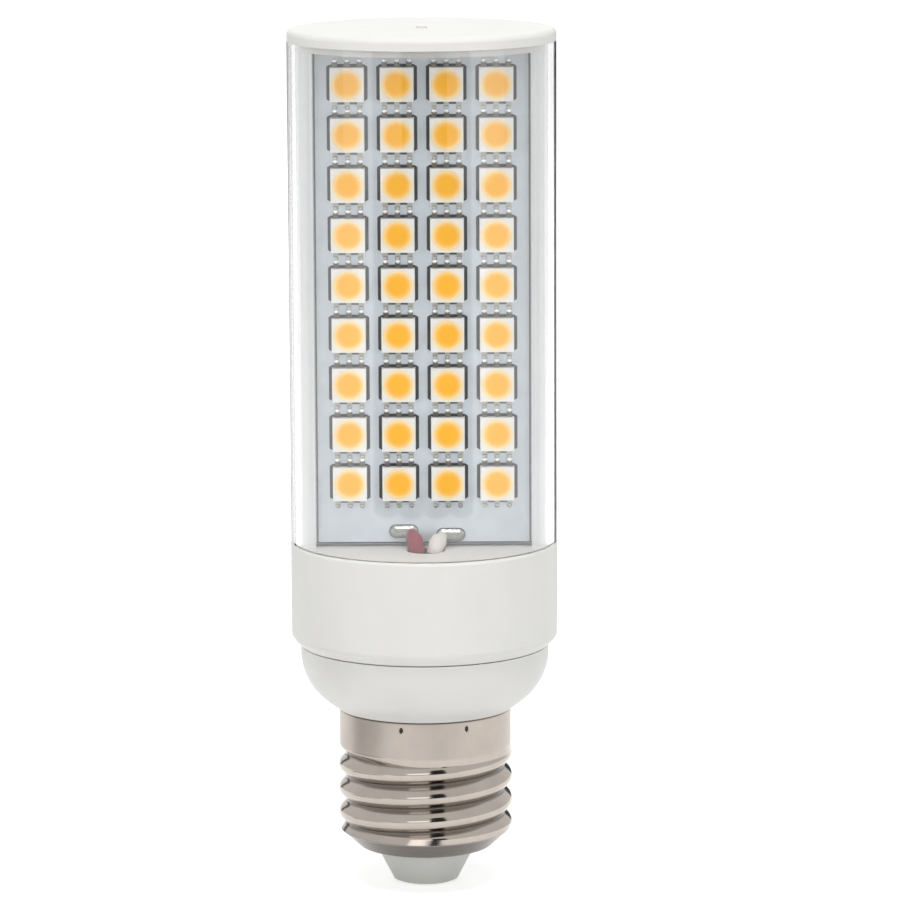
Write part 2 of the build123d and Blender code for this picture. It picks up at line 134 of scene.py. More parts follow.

# Painted shade disc in the wire hole of the collar's deck
HOLE_RADIUS = 2.8 * MM
HOLE_X = 0.3 * MM
HOLE_GAP = 0.6 * MM
HOLE_SHADE_DROP = 0.25 * MM
HOLE_POINTS = 48

# Painted shadow in the seams beside the cover
SEAM_SHADOW_INNER = 18.75 * MM
SEAM_SHADOW_OUTER = 19.85 * MM
SEAM_SHADOW_GAP = 0.05 * MM
SEAM_SHADOW_PALE = 0.6
SEAM_SHADOW_PALE_SHARE = 0.3

# Rays that see the plain white background
WHITE_RAYS = ("Is Camera Ray", "Is Glossy Ray", "Is Transmission Ray")

# Height of the studio's dark cards above the floor
CARD_LIFT = 1 * MM


# Places on the lamp

def led_places():
    """Middle and half sizes of each LED package."""
    for name in sorted(frame["nodes"]):
        if name.startswith("led_r"):
            low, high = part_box(name)
            yield (low + high) / 2, (high - low) / 2


def solder_pads():
    """Corners (x, z) of the two wire joints on the board."""
    points = [vert.co for vert in frame["nodes"]["board_solder_joints"].data.vertices]
    for side in (-1, 1):
        own = [point for point in points if point.x * side > 0]
        xs = [point.x for point in own]
        zs = [point.z for point in own]
        yield Vector((min(xs), min(zs))), Vector((max(xs), max(zs)))


def heat_sink_lip():
    """Half width of the board that shows between the heat sink's lips."""
    return min(
        abs(vert.co.x) for vert in frame["nodes"]["heat_sink"].data.vertices
        if vert.co.y < board_face - MARK_HEIGHT
    )


columns = sorted({round(centre.x, 6) for centre, half in led_places()})
rows = sorted({round(centre.z, 6) for centre, half in led_places()})
board_low, board_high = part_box("led_board")
board_face = board_low.y
board_edge = heat_sink_lip()
shell_low, shell_high = (corner.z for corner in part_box("screw_shell"))
punch_height = shell_high - PUNCH_DROP


# Materials

def grey(tone):
    """Neutral colour of a tone."""
    return (tone, tone, tone)


def shade(colour, share):
    """The colour made lighter or darker by a share."""
    return tuple(min(1.0, channel * share) for channel in colour)


def blend(first, second, share):
    """Colour on the way from the first to the second."""
    return tuple(a + (b - a) * share for a, b in zip(first, second))


def node(tree, kind, **values):
    """Adds a shader node and sets its named values."""
    made = tree.nodes.new(kind)
    for name, value in values.items():
        setattr(made, name, value)
    return made


def surface(name, colour, roughness, **sockets):
    """Material with a principled shader; the sockets are set to fixed values."""
    material = bpy.data.materials.new(name)
    material.use_nodes = True
    shader = material.node_tree.nodes["Principled BSDF"]
    shader.inputs["Base Color"].default_value = (*colour, 1)
    shader.inputs["Roughness"].default_value = roughness
    for socket, value in sockets.items():
        shader.inputs[socket.replace("_", " ")].default_value = value
    material.diffuse_color = (*colour, 1)
    return material, material.node_tree, shader


def calculate(tree, operation, *values):
    """Result of an operation on sockets and plain numbers."""
    made = node(tree, "ShaderNodeMath", operation=operation)
    for socket, value in zip(made.inputs, values):
        if isinstance(value, bpy.types.NodeSocket):
            tree.links.new(value, socket)
        else:
            socket.default_value = value
    return made.outputs[0]


def map_range(tree, factor, from_range=(0, 1), to_range=(0, 1)):
    """Factor taken from one range to another and held inside it."""
    span = node(tree, "ShaderNodeMapRange")
    for title, values in (("From", from_range), ("To", to_range)):
        span.inputs[title + " Min"].default_value = values[0]
        span.inputs[title + " Max"].default_value = values[1]
    tree.links.new(factor, span.inputs["Value"])
    return span.outputs["Result"]


def colour_ramp(tree, factor, stops):
    """Colour by a factor, from (position, colour) stops."""
    ramp = node(tree, "ShaderNodeValToRGB")
    points = ramp.color_ramp.elements
    for point, (position, colour) in zip(points, (stops[0], stops[-1])):
        point.position = position
        point.color = (*colour, 1)
    for position, colour in stops[1:-1]:
        points.new(position).color = (*colour, 1)
    tree.links.new(factor, ramp.inputs["Fac"])
    return ramp.outputs["Color"]


def axes(tree):
    """X, Y and Z of a place on the object."""
    place = node(tree, "ShaderNodeTexCoord")
    split = node(tree, "ShaderNodeSeparateXYZ")
    tree.links.new(place.outputs["Object"], split.inputs["Vector"])
    return split.outputs["X"], split.outputs["Y"], split.outputs["Z"]


def flat_distance(tree, across, along):
    """Distance from the middle by two offsets at right angles."""
    join = node(tree, "ShaderNodeCombineXYZ")
    tree.links.new(across, join.inputs["X"])
    tree.links.new(along, join.inputs["Y"])
    length = node(tree, "ShaderNodeVectorMath", operation="LENGTH")
    tree.links.new(join.outputs["Vector"], length.inputs[0])
    return length.outputs["Value"]


def grain(tree, scale, stretch=(1, 1, 1), detail=4.0):
    """Noise fixed to the object: scale is in lumps per metre."""
    place = node(tree, "ShaderNodeTexCoord")
    mapping = node(tree, "ShaderNodeMapping")
    mapping.inputs["Scale"].default_value = stretch
    noise = node(tree, "ShaderNodeTexNoise")
    noise.inputs["Scale"].default_value = scale
    noise.inputs["Detail"].default_value = detail
    tree.links.new(place.outputs["Object"], mapping.inputs["Vector"])
    tree.links.new(mapping.outputs["Vector"], noise.inputs["Vector"])
    return noise.outputs["Fac"]


def vary_colour(tree, shader, factor, low, high):
    """Base colour between two tones by a factor."""
    tint = colour_ramp(tree, factor, [(0.3, low), (0.7, high)])
    tree.links.new(tint, shader.inputs["Base Color"])


def vary_roughness(tree, shader, factor, low, high):
    """Roughness between two values by a factor."""
    tree.links.new(map_range(tree, factor, to_range=(low, high)), shader.inputs["Roughness"])


def relief(tree, shader, factor, height, strength):
    """Bump from a factor; height is in metres."""
    bump = node(tree, "ShaderNodeBump")
    bump.inputs["Strength"].default_value = strength
    bump.inputs["Distance"].default_value = height
    tree.links.new(factor, bump.inputs["Height"])
    tree.links.new(bump.outputs["Normal"], shader.inputs["Normal"])


def moulded_plastic(name, colour, roughness):
    """Satin moulded plastic: fine grain, faint flow clouds."""
    material, tree, shader = surface(name, colour, roughness)
    clouds = grain(tree, 140, stretch=(1, 1, 0.5))
    vary_colour(tree, shader, clouds, shade(colour, 0.975), shade(colour, 1.02))
    fine = grain(tree, 5200, detail=2.0)
    vary_roughness(tree, shader, fine, roughness - 0.05, roughness + 0.07)
    relief(tree, shader, fine, 0.004 * MM, 0.35)
    return material


def plated_metal(name, colour, roughness):
    """Plated sheet metal with fine marks and a slightly uneven plate."""
    material, tree, shader = surface(name, colour, roughness, Metallic=1.0)
    clouds = grain(tree, 260)
    vary_colour(tree, shader, clouds, shade(colour, 0.93), shade(colour, 1.05))
    marks = grain(tree, 2400, detail=6.0)
    vary_roughness(tree, shader, marks, roughness - 0.05, roughness + 0.08)
    relief(tree, shader, marks, 0.003 * MM, 0.3)
    return material


def height_zones(tree, stops):
    """Colour along the lamp's axis, from (height, colour) stops."""
    low, high = stops[0][0], stops[-1][0]
    share = map_range(tree, axes(tree)[2], from_range=(low, high))
    share_stops = [((height - low) / (high - low), colour) for height, colour in stops]
    return colour_ramp(tree, share, share_stops)


def groove_shade(tree):
    """Factor of painted shade that darkens the floor of the thread's grooves, and is one on the dome
    below them.
    """
    x, y, z = axes(tree)
    reach = flat_distance(tree, x, y)
    depth = (THREAD_ROOT, THREAD_ROOT + GROOVE_SHADE)
    groove = map_range(tree, reach, from_range=depth, to_range=(GROOVE_TONE, 1))
    dome = calculate(tree, "LESS_THAN", z, shell_low + DOME_HEIGHT)
    return calculate(tree, "MAXIMUM", groove, dome)


def shell_nickel(colour):
    """Plated sheet: polished on the thread, duller on the band, with painted shade on the dome and a
    painted shadow at the joint under the cup.
    """
    material, tree, shader = surface("shell_nickel", colour, 0.14, Metallic=1.0)
    # Painted shade: a darker copy of the colour on the downward-facing dome, and a painted shadow at
    # the top edge under the cup's foot.
    joint = shade(colour, 0.16)
    dome = shade(colour, 0.36)
    tint = height_zones(tree, [
        (shell_low, dome),
        (shell_low + 2.3 * MM, dome),
        (shell_low + 2.7 * MM, colour),
        (shell_high - 0.4 * MM, colour),
        (shell_high - 0.2 * MM, joint),
        (shell_high, joint),
    ])
    clouds = map_range(tree, grain(tree, 260), to_range=(0.86, 1.1))
    # The grooves' floor is darkened as painted shade.
    share = calculate(tree, "MULTIPLY", clouds, groove_shade(tree))
    scaled = node(tree, "ShaderNodeVectorMath", operation="SCALE")
    tree.links.new(tint, scaled.inputs[0])
    tree.links.new(share, scaled.inputs["Scale"])
    tree.links.new(scaled.outputs["Vector"], shader.inputs["Base Color"])
    polish = height_zones(tree, [
        (shell_low, grey(DOME_ROUGHNESS)),
        (shell_low + 3.0 * MM, grey(THREAD_ROUGHNESS)),
        (shell_high - 6.4 * MM, grey(THREAD_ROUGHNESS)),
        (shell_high - 5.4 * MM, grey(BAND_ROUGHNESS)),
        (shell_high, grey(BAND_ROUGHNESS)),
    ])
    tree.links.new(polish, shader.inputs["Roughness"])
    marks = grain(tree, 2400, stretch=(0.04, 0.04, 1), detail=6.0)
    relief(tree, shader, marks, 0.003 * MM, 0.3)
    return material


def clear_plastic():
    """Clear extruded cover with faint draw lines, which lets lamp light reach the board."""
    material, tree, shader = surface(
        "clear_plastic", grey(1.0), 0.02, Transmission_Weight=1.0, IOR=1.49
    )
    lines = grain(tree, 900, stretch=(1, 1, 0.01))
    relief(tree, shader, lines, 0.0015 * MM, 0.25)
    path = node(tree, "ShaderNodeLightPath")
    clear = node(tree, "ShaderNodeBsdfTransparent")
    clear.inputs["Color"].default_value = (*grey(COVER_PASS), 1)
    either = node(tree, "ShaderNodeMixShader")
    tree.links.new(path.outputs["Is Shadow Ray"], either.inputs["Fac"])
    tree.links.new(shader.outputs["BSDF"], either.inputs[1])
    tree.links.new(clear.outputs["BSDF"], either.inputs[2])
    tree.links.new(either.outputs["Shader"], tree.nodes["Material Output"].inputs["Surface"])
    return material


def extruded_aluminium():
    """Natural aluminium with lengthwise die lines."""
    colour = (0.69, 0.7, 0.71)
    material, tree, shader = surface("heat_sink_aluminium", colour, 0.38, Metallic=0.5)
    lines = grain(tree, 3000, stretch=(1, 1, 0.004), detail=6.0)
    vary_colour(tree, shader, lines, shade(colour, 0.86), shade(colour, 1.06))
    vary_roughness(tree, shader, lines, 0.3, 0.48)
    relief(tree, shader, lines, 0.006 * MM, 0.4)
    return material


def board_coating():
    """Pale coating over the board's copper, with faint mottling."""
    colour = (0.59, 0.645, 0.69)
    material, tree, shader = surface("board_coating", colour, 0.42)
    clouds = grain(tree, 420)
    vary_colour(tree, shader, clouds, shade(colour, 0.95), shade(colour, 1.05))
    fine = grain(tree, 3600, detail=2.0)
    vary_roughness(tree, shader, fine, 0.36, 0.5)
    relief(tree, shader, fine, 0.004 * MM, 0.4)
    return material


def repeat_offset(tree, axis_value, centres):
    """Signed distance along an axis from the nearest of evenly spaced centres."""
    pitch = centres[1] - centres[0]
    shift = calculate(tree, "SUBTRACT", axis_value, centres[0] - pitch / 2)
    wrap = calculate(tree, "WRAP", shift, pitch, 0)
    return calculate(tree, "SUBTRACT", wrap, pitch / 2)


def cup_distance(tree):
    """Distance from the axis of the nearest package's cup, as a share of the cup's radius."""
    x, _, z = axes(tree)
    length = flat_distance(tree, repeat_offset(tree, x, columns), repeat_offset(tree, z, rows))
    return calculate(tree, "DIVIDE", length, CUP_RADIUS)


def phosphor_resin():
    """Yellow phosphor that pales towards the rim of each cup."""
    deep = (0.99, 0.47, 0.01)
    pale = (0.98, 0.8, 0.45)
    material, tree, shader = surface("phosphor", deep, 0.4)
    stops = [(position, blend(deep, pale, share)) for position, share in CUP_TONES]
    tint = colour_ramp(tree, cup_distance(tree), stops)
    tree.links.new(tint, shader.inputs["Base Color"])
    fine = grain(tree, 4200)
    relief(tree, shader, fine, 0.01 * MM, 0.4)
    return material


def housing_plastic():
    """White package plastic with the phosphor's warm glow round the cup."""
    colour = (0.83, 0.81, 0.785)
    warm = (0.9, 0.74, 0.44)
    material, tree, shader = surface("led_housing", colour, 0.35)
    reach = map_range(tree, cup_distance(tree), from_range=CUP_GLOW)
    tint = colour_ramp(tree, reach, [(0, warm), (1, colour)])
    tree.links.new(tint, shader.inputs["Base Color"])
    fine = grain(tree, 5200, detail=2.0)
    vary_roughness(tree, shader, fine, 0.3, 0.42)
    relief(tree, shader, fine, 0.004 * MM, 0.35)
    return material


def bright_solder():
    """Bright solder with small wrinkles."""
    colour = (0.5, 0.5, 0.48)
    material, tree, shader = surface("solder", colour, 0.18, Metallic=1.0)
    wrinkles = grain(tree, 2200, detail=3.0)
    vary_colour(tree, shader, wrinkles, shade(colour, 0.85), shade(colour, 1.1))
    vary_roughness(tree, shader, wrinkles, 0.1, 0.35)
    relief(tree, shader, wrinkles, 0.06 * MM, 0.6)
    return material


def ink_and_shade(name, colour):
    """Dark material for printed marks and painted shade, slightly uneven."""
    material, tree, shader = surface(name, colour, 0.6)
    blots = grain(tree, 5200)
    vary_colour(tree, shader, blots, shade(colour, 0.8), shade(colour, 1.5))
    relief(tree, shader, blots, 0.006 * MM, 0.5)
    return material


def seam_shadow_tone(name, tone, low, high):
    """Painted shadow along the lamp's axis for a seam, pale at the foot and at its own tone at the top.
    """
    material, tree, shader = surface(name, grey(tone), 0.5)
    tint = height_zones(tree, [
        (low, grey(SEAM_SHADOW_PALE)),
        (low + (high - low) * SEAM_SHADOW_PALE_SHARE, grey(SEAM_SHADOW_PALE)),
        (high, grey(tone)),
    ])
    tree.links.new(tint, shader.inputs["Base Color"])
    relief(tree, shader, grain(tree, 3000), 0.01 * MM, 0.4)
    return material


materials = {
    "shell_nickel": shell_nickel((0.42, 0.375, 0.335)),
    "contact_metal": plated_metal("contact_metal", (0.6, 0.58, 0.55), 0.3),
    "insulator_plastic": moulded_plastic("insulator_plastic", (0.62, 0.62, 0.59), 0.4),
    "white_plastic": moulded_plastic("white_plastic", (0.7, 0.695, 0.67), 0.42),
    "clear_plastic": clear_plastic(),
    "heat_sink_aluminium": extruded_aluminium(),
    "board_coating": board_coating(),
    "led_housing": housing_plastic(),
    "phosphor": phosphor_resin(),
    "red_insulation": moulded_plastic("red_insulation", (0.24, 0.035, 0.055), 0.45),
    "white_insulation": moulded_plastic("white_insulation", (0.66, 0.62, 0.58), 0.45),
    "solder": bright_solder(),
    "screw_steel": plated_metal("screw_steel", (0.62, 0.62, 0.6), 0.3),
    "driver_laminate": moulded_plastic("driver_laminate", (0.06, 0.2, 0.09), 0.4),
    "resistor_body": moulded_plastic("resistor_body", (0.3, 0.36, 0.34), 0.5),
    "black_epoxy": moulded_plastic("black_epoxy", (0.02, 0.02, 0.02), 0.5),
    "capacitor_sleeve": moulded_plastic("capacitor_sleeve", (0.03, 0.03, 0.035), 0.3),
    "ferrite": moulded_plastic("ferrite", (0.05, 0.05, 0.05), 0.6),
    "lead_insulation": moulded_plastic("lead_insulation", (0.55, 0.5, 0.45), 0.45),
}
for part in frame["record"]["subparts"]:
    slots = frame["nodes"][part["node"]].data.materials
    slots.clear()
    slots.append(materials[part["material_slot"]])


# Pieces that the scene adds

def new_object(name, mesh, material):
    """Object in the scene from a finished bmesh."""
    data = bpy.data.meshes.new(name)
    mesh.to_mesh(data)
    mesh.free()
    data.materials.append(material)
    made = bpy.data.objects.new(name, data)
    bpy.context.scene.collection.objects.link(made)
    return made


def lamp_piece(name, mesh, material, body="head"):
    """Piece on one of the lamp's bodies from a finished bmesh."""
    piece = new_object(name, mesh, material)
    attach(piece, body)
    return piece


def thread_wave(turn):
    """Share of the thread's depth at an angle from the crest: round crests, narrow grooves."""
    low, high = THREAD_SOFTNESS, math.hypot(1, THREAD_SOFTNESS)
    return (math.hypot(math.cos(turn / 2), THREAD_SOFTNESS) - low) / (high - low)


def shell_sections():
    """Rings of the shell's foot and of its wall, from the mouth to the upper edge.

    Each ring has its height, radius, share of the thread and angle of the thread's crest.
    """
    slope = math.atan2(DOME_HEIGHT, DOME_RADIUS - DOME_FOOT)
    start = DOME_FOOT - DOME_ROUND * math.tan(slope / 2)
    foot = [(shell_low, MOUTH_RADIUS, 0, 0), (shell_low, start - EDGE_RING, 0, 0)]
    for index in range(ROUND_STEPS + 1):
        turn = slope * index / ROUND_STEPS
        height = shell_low + DOME_ROUND * (1 - math.cos(turn))
        foot.append((height, start + DOME_ROUND * math.sin(turn), 0, 0))

    wall = []
    for share in DOME_SHARES:
        radius = DOME_FOOT + (DOME_RADIUS - DOME_FOOT) * share
        wall.append((shell_low + DOME_HEIGHT * share, radius, 0, 0))
    low = shell_low + DOME_HEIGHT + THREAD_RUNOUT
    high = shell_high - BAND_HEIGHT - THREAD_RUNOUT
    first = THREAD_END - math.tau * (high - low) / THREAD_PITCH
    for share in RUN_IN_SHARES:
        wall.append((low - THREAD_RUNOUT * (1 - share), DOME_RADIUS, share, first))
    steps = round(RINGS_PER_TURN * (high - low) / THREAD_PITCH)
    for index in range(steps + 1):
        height = low + (high - low) * index / steps
        wall.append((height, DOME_RADIUS, 1, first + math.tau * (height - low) / THREAD_PITCH))
    for share in RUN_OUT_SHARES:
        wall.append((high + THREAD_RUNOUT * share, BAND_RADIUS, 1 - share, THREAD_END))

    band_low = shell_high - BAND_HEIGHT
    band = [band_low, band_low + EDGE_RING, shell_high - BAND_HEIGHT / 2]
    for index in range(-PUNCH_RINGS, PUNCH_RINGS + 1):
        band.append(punch_height + PUNCH_LENGTH * index / (PUNCH_RINGS - 1))
    band += [shell_high - EDGE_RING / 2, shell_high]
    return foot, wall + [(height, BAND_RADIUS, 0, 0) for height in band]


def punch_depth(angle, height):
    """Depth of the punched marks at a place on the band."""
    depth = 0
    for mark in PUNCH_ANGLES:
        aside = math.remainder(angle - mark, math.tau) * BAND_RADIUS / PUNCH_WIDTH
        along = (height - punch_height) / PUNCH_LENGTH
        depth = max(depth, PUNCH_DEPTH * (1 - aside * aside - along * along))
    return depth


def shell_angles():
    """Angles of the shell's lengthwise edges, closer together at the punched marks."""
    angles = {math.tau * index / SHELL_SEGMENTS for index in range(SHELL_SEGMENTS)}
    for mark in PUNCH_ANGLES:
        for index in range(-PUNCH_SIDE_STEPS, PUNCH_SIDE_STEPS + 1):
            angles.add((mark + PUNCH_STEP * index) % math.tau)
    return sorted(angles)


def rolled_shell():
    """Smooth screw shell in place of its CAD solid."""
    angles = shell_angles()
    foot, wall = shell_sections()
    outer = foot + wall
    floor = shell_low + SHEET
    inner = [(max(height, floor), *ring) for height, *ring in reversed(wall)]
    inner.append((floor, MOUTH_RADIUS + SHEET, 0, 0))
    mesh = bmesh.new()
    loops = []
    for index, (height, radius, share, turn) in enumerate(outer + inner):
        loop = []
        outside = index < len(outer)
        for angle in angles:
            thread = THREAD_ROOT + (THREAD_CREST - THREAD_ROOT) * thread_wave(angle - turn)
            reach = radius + (thread - radius) * share - (0 if outside else SHEET)
            if outside and not share:
                reach -= punch_depth(angle, height)
            loop.append(mesh.verts.new((reach * math.cos(angle), reach * math.sin(angle), height)))
        loops.append(loop)
    count = len(angles)
    for lower, upper in zip(loops, loops[1:] + loops[:1]):
        for index in range(count):
            after = (index + 1) % count
            mesh.faces.new((lower[index], lower[after], upper[after], upper[index]))
    bmesh.ops.recalc_face_normals(mesh, faces=mesh.faces)
    for face in mesh.faces:
        face.smooth = True
        middle = face.calc_center_median()
        punched = punch_depth(math.atan2(middle.y, middle.x), middle.z) > PUNCH_DEPTH / 4
        if punched and middle.z > shell_high - BAND_HEIGHT / 2:
            face.material_index = 1
    for edge in mesh.edges:
        edge.smooth = edge.calc_face_angle(0) < SHARP_EDGE
    piece = lamp_piece("rolled_shell", mesh, materials["shell_nickel"], "base")
    piece.data.materials.append(plated_metal("punch_shadow", (0.07, 0.062, 0.055), 0.4))
    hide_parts("screw_shell")


def prism(mesh, outline, x_low, x_high):
    """Adds an outline of (y, z) points drawn out along X."""
    near = [mesh.verts.new((x_low, y, z)) for y, z in outline]
    far = [mesh.verts.new((x_high, y, z)) for y, z in outline]
    count = len(outline)
    mesh.faces.new(near)
    mesh.faces.new(reversed(far))
    for index in range(count):
        after = (index + 1) % count
        mesh.faces.new((near[index], far[index], far[after], near[after]))


def lead_row(name, side, material):
    """Bent leads along the upper or lower side of each package."""
    mesh = bmesh.new()
    section = [
        (0, 0), (LEAD_FOOT, 0), (LEAD_FOOT, LEAD_THICKNESS), (LEAD_THICKNESS, LEAD_THICKNESS),
        (LEAD_THICKNESS, LEAD_HEIGHT), (0, LEAD_HEIGHT),
    ]
    for centre, half in led_places():
        wall = centre.z + side * half.z
        outline = [(board_face - height, wall + side * out) for out, height in section]
        for offset in LEAD_OFFSETS:
            middle = centre.x + offset
            prism(mesh, outline, middle - LEAD_WIDTH / 2, middle + LEAD_WIDTH / 2)
    bmesh.ops.recalc_face_normals(mesh, faces=mesh.faces)
    lamp_piece(name, mesh, material)


def solder_row(name, side, material):
    """Small mounds of solder at the feet of the leads on one side of each package."""
    mesh = bmesh.new()
    for centre, half in led_places():
        foot = centre.z + side * (half.z + LEAD_FOOT + SOLDER_RADIUS / 2)
        for offset in LEAD_OFFSETS:
            made = bmesh.ops.create_icosphere(mesh, subdivisions=2, radius=1)["verts"]
            for vert in made:
                x, y, z = vert.co
                vert.co = (
                    centre.x + offset + x * SOLDER_RADIUS,
                    board_face + y * SOLDER_HEIGHT,
                    foot + z * SOLDER_RADIUS,
                )
    for face in mesh.faces:
        face.smooth = True
    lamp_piece(name, mesh, material)


def flat_mark(mesh, loop):
    """Adds a flat dark shape from (x, z) points on the board's face, for marks and painted shadows."""
    mesh.faces.new([mesh.verts.new((x, board_face - MARK_HEIGHT, z)) for x, z in loop])


def bar_mark(mesh, x_low, x_high, z_low, z_high):
    """Adds a flat bar."""
    flat_mark(mesh, [(x_low, z_low), (x_high, z_low), (x_high, z_high), (x_low, z_high)])


def lead_shadow_bar(mesh, centre, half, z_low):
    """Adds a bar of painted shadow under a package's row of leads."""
    reach = half.x - BRACKET_RETURN
    bar_mark(mesh, centre.x - reach, centre.x + reach, z_low, z_low + LEAD_SHADOW_HEIGHT)


def brackets_and_shadow_marks():
    """Dark brackets beside each package, and painted shadow as a bar under its upper leads and a line
    at the board's foot.
    """
    mesh = bmesh.new()
    for centre, half in led_places():
        # Painted shadow between the housing and its upper leads.
        lead_shadow_bar(mesh, centre, half, centre.z + half.z)
        for side in (-1, 1):
            inner = centre.x + side * (half.x + BRACKET_GAP)
            outer = inner + side * BRACKET_WIDTH
            turn = inner - side * BRACKET_RETURN
            low = centre.z + BRACKET_LIFT - BRACKET_LENGTH / 2
            high = low + BRACKET_LENGTH
            flat_mark(mesh, [
                (turn, low), (inner, low), (outer, low + BRACKET_RETURN),
                (outer, high - BRACKET_RETURN), (inner, high), (turn, high),
                (turn, high - BRACKET_WIDTH), (inner, high - BRACKET_RETURN),
                (inner, low + BRACKET_RETURN), (turn, low + BRACKET_WIDTH),
            ])
    # Painted shadow in the gap under the board's foot.
    bar_mark(mesh, -board_edge, board_edge, board_low.z, board_low.z + FOOT_SHADOW_LINE)
    bmesh.ops.recalc_face_normals(mesh, faces=mesh.faces)
    mark_and_shadow_material = ink_and_shade("dark_marks_and_shadow", (0.055, 0.06, 0.065))
    lamp_piece("brackets_and_shadow_marks", mesh, mark_and_shadow_material)


def pad_shade_outline(low, high):
    """Points (x, z) of a long round-ended shape just larger than a wire joint."""
    middle = (low + high) / 2
    round_end = (high.y - low.y) / 2 + PAD_SHADE_LINE
    straight = (high.x - low.x) / 2 + PAD_SHADE_LINE - round_end
    for index in range(PAD_POINTS):
        turn = math.tau * (index + 0.5) / PAD_POINTS
        end = math.copysign(straight, math.cos(turn))
        yield middle.x + end + round_end * math.cos(turn), middle.y + round_end * math.sin(turn)


def grey_shadow_marks():
    """Painted grey shade: bars under the lower leads, outlines of the wire joints and lines at the
    board's edges.
    """
    mesh = bmesh.new()
    for centre, half in led_places():
        # Painted shadow under the lower leads.
        lead_shadow_bar(mesh, centre, half, centre.z - half.z - LEAD_SHADOW_HEIGHT)
    # Painted shade: a dark outline round each wire joint stands for the dark its rounded solder
    # mirrors.
    for low, high in solder_pads():
        flat_mark(mesh, pad_shade_outline(low, high))
    # Painted contact shadow along the board's edges beside the heat sink's lips.
    edge = board_edge - EDGE_SHADOW_GAP
    for side in (-1, 1):
        near, far = sorted((side * edge, side * (edge - EDGE_SHADOW_LINE)))
        bar_mark(mesh, near, far, board_low.z, board_high.z)
    bmesh.ops.recalc_face_normals(mesh, faces=mesh.faces)
    lamp_piece("grey_shadow_marks", mesh, ink_and_shade("grey_painted_shade", (0.1, 0.1, 0.095)))


def hole_shade():
    """Dark disc of painted shade for the inside of the wire hole, just below the deck."""
    mesh = bmesh.new()
    made = bmesh.ops.create_circle(mesh, cap_ends=True, radius=HOLE_RADIUS, segments=HOLE_POINTS)
    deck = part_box("collar")[1].z
    for vert in made["verts"]:
        vert.co += Vector((HOLE_X, board_face - HOLE_GAP - HOLE_RADIUS, deck - HOLE_SHADE_DROP))
    dark = ink_and_shade("hole_shade", (0.03, 0.025, 0.022))
    lamp_piece("hole_shade", mesh, dark)


def seam_shadow_line(name, x_low, x_high, tone):
    """Strip of painted shadow in the seam between the cover's edge and the heat sink."""
    low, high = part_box("clear_cover")
    mesh = bmesh.new()
    corners = [(x_low, low.z), (x_high, low.z), (x_high, high.z), (x_low, high.z)]
    mesh.faces.new([mesh.verts.new((x, high.y + SEAM_SHADOW_GAP, z)) for x, z in corners])
    bmesh.ops.recalc_face_normals(mesh, faces=mesh.faces)
    lamp_piece(name, mesh, seam_shadow_tone(name, tone, low.z, high.z))


rolled_shell()
# Painted shade and highlight: the upper leads get a darker copy of the plate and the upper solder a
# near-white one.
shaded_lead_plate = plated_metal("shaded_lead_plate", (0.22, 0.215, 0.2), 0.3)
dull_plate = plated_metal("dull_plate", (0.5, 0.5, 0.47), 0.35)
lead_row("upper_leads", 1, shaded_lead_plate)
lead_row("lower_leads", -1, dull_plate)
solder_row("upper_solder", 1, plated_metal("solder_highlight_dots", grey(0.95), 0.35))
solder_row("lower_solder", -1, dull_plate)
brackets_and_shadow_marks()
grey_shadow_marks()
hole_shade()
# Painted shadow of two depths: grey in the left seam, near black in the right.
seam_shadow_line("left_seam_shadow", -SEAM_SHADOW_OUTER, -SEAM_SHADOW_INNER, tone=0.12)
seam_shadow_line("right_seam_shadow", SEAM_SHADOW_INNER, SEAM_SHADOW_OUTER, tone=0.012)


# Stage

def white_rays(tree):
    """One for the rays that see the plain white background."""
    path = node(tree, "ShaderNodeLightPath")
    first, *others = (path.outputs[name] for name in WHITE_RAYS)
    for other in others:
        first = calculate(tree, "MAXIMUM", first, other)
    return first


def pale_world(strength):
    """Even soft light; the camera, metal and glass see plain white."""
    world = bpy.data.worlds.new("studio")
    world.use_nodes = True
    tree = world.node_tree
    light = tree.nodes["Background"]
    light.inputs["Color"].default_value = (*grey(1), 1)
    seen = map_range(tree, white_rays(tree), to_range=(strength, 1))
    tree.links.new(seen, light.inputs["Strength"])
    bpy.context.scene.world = world


def stage_piece(name, mesh, material):
    """Object of the stage from a finished bmesh."""
    piece = new_object(name, mesh, material)
    return piece


def pale_floor(size, albedo, glow):
    """Plain white floor under the lamp's tip that keeps a soft shadow."""
    mesh = bmesh.new()
    bmesh.ops.create_grid(mesh, x_segments=1, y_segments=1, size=size)
    material = bpy.data.materials.new("pale_floor")
    material.use_nodes = True
    tree = material.node_tree
    tree.nodes.remove(tree.nodes["Principled BSDF"])
    diffuse = node(tree, "ShaderNodeBsdfDiffuse")
    diffuse.inputs["Color"].default_value = (*grey(albedo), 1)
    light = node(tree, "ShaderNodeEmission")
    tree.links.new(calculate(tree, "MULTIPLY", white_rays(tree), glow), light.inputs["Strength"])
    both = node(tree, "ShaderNodeAddShader")
    tree.links.new(diffuse.outputs["BSDF"], both.inputs[0])
    tree.links.new(light.outputs["Emission"], both.inputs[1])
    tree.links.new(both.outputs["Shader"], tree.nodes["Material Output"].inputs["Surface"])
    stage_piece("floor", mesh, material)


def dark_card(name, tone, corners, through_cover=False):
    """Dark card of the studio that shows only where metal and glass mirror it."""
    mesh = bmesh.new()
    mesh.faces.new([mesh.verts.new(corner) for corner in corners])
    card = stage_piece(name, mesh, surface(name, grey(tone), 0.9)[0])
    card.visible_camera = False
    card.visible_diffuse = False
    card.visible_transmission = through_cover
    card.visible_shadow = False


def floor_card(name, tone, corners, through_cover=False):
    """Dark card on the floor."""
    dark_card(name, tone, [(x, y, CARD_LIFT) for x, y in corners], through_cover)


def standing_card(name, tone, left, right, height):
    """Dark card that stands on the floor along a line."""
    corners = [(*left, CARD_LIFT), (*right, CARD_LIFT), (*right, height), (*left, height)]
    dark_card(name, tone, corners)


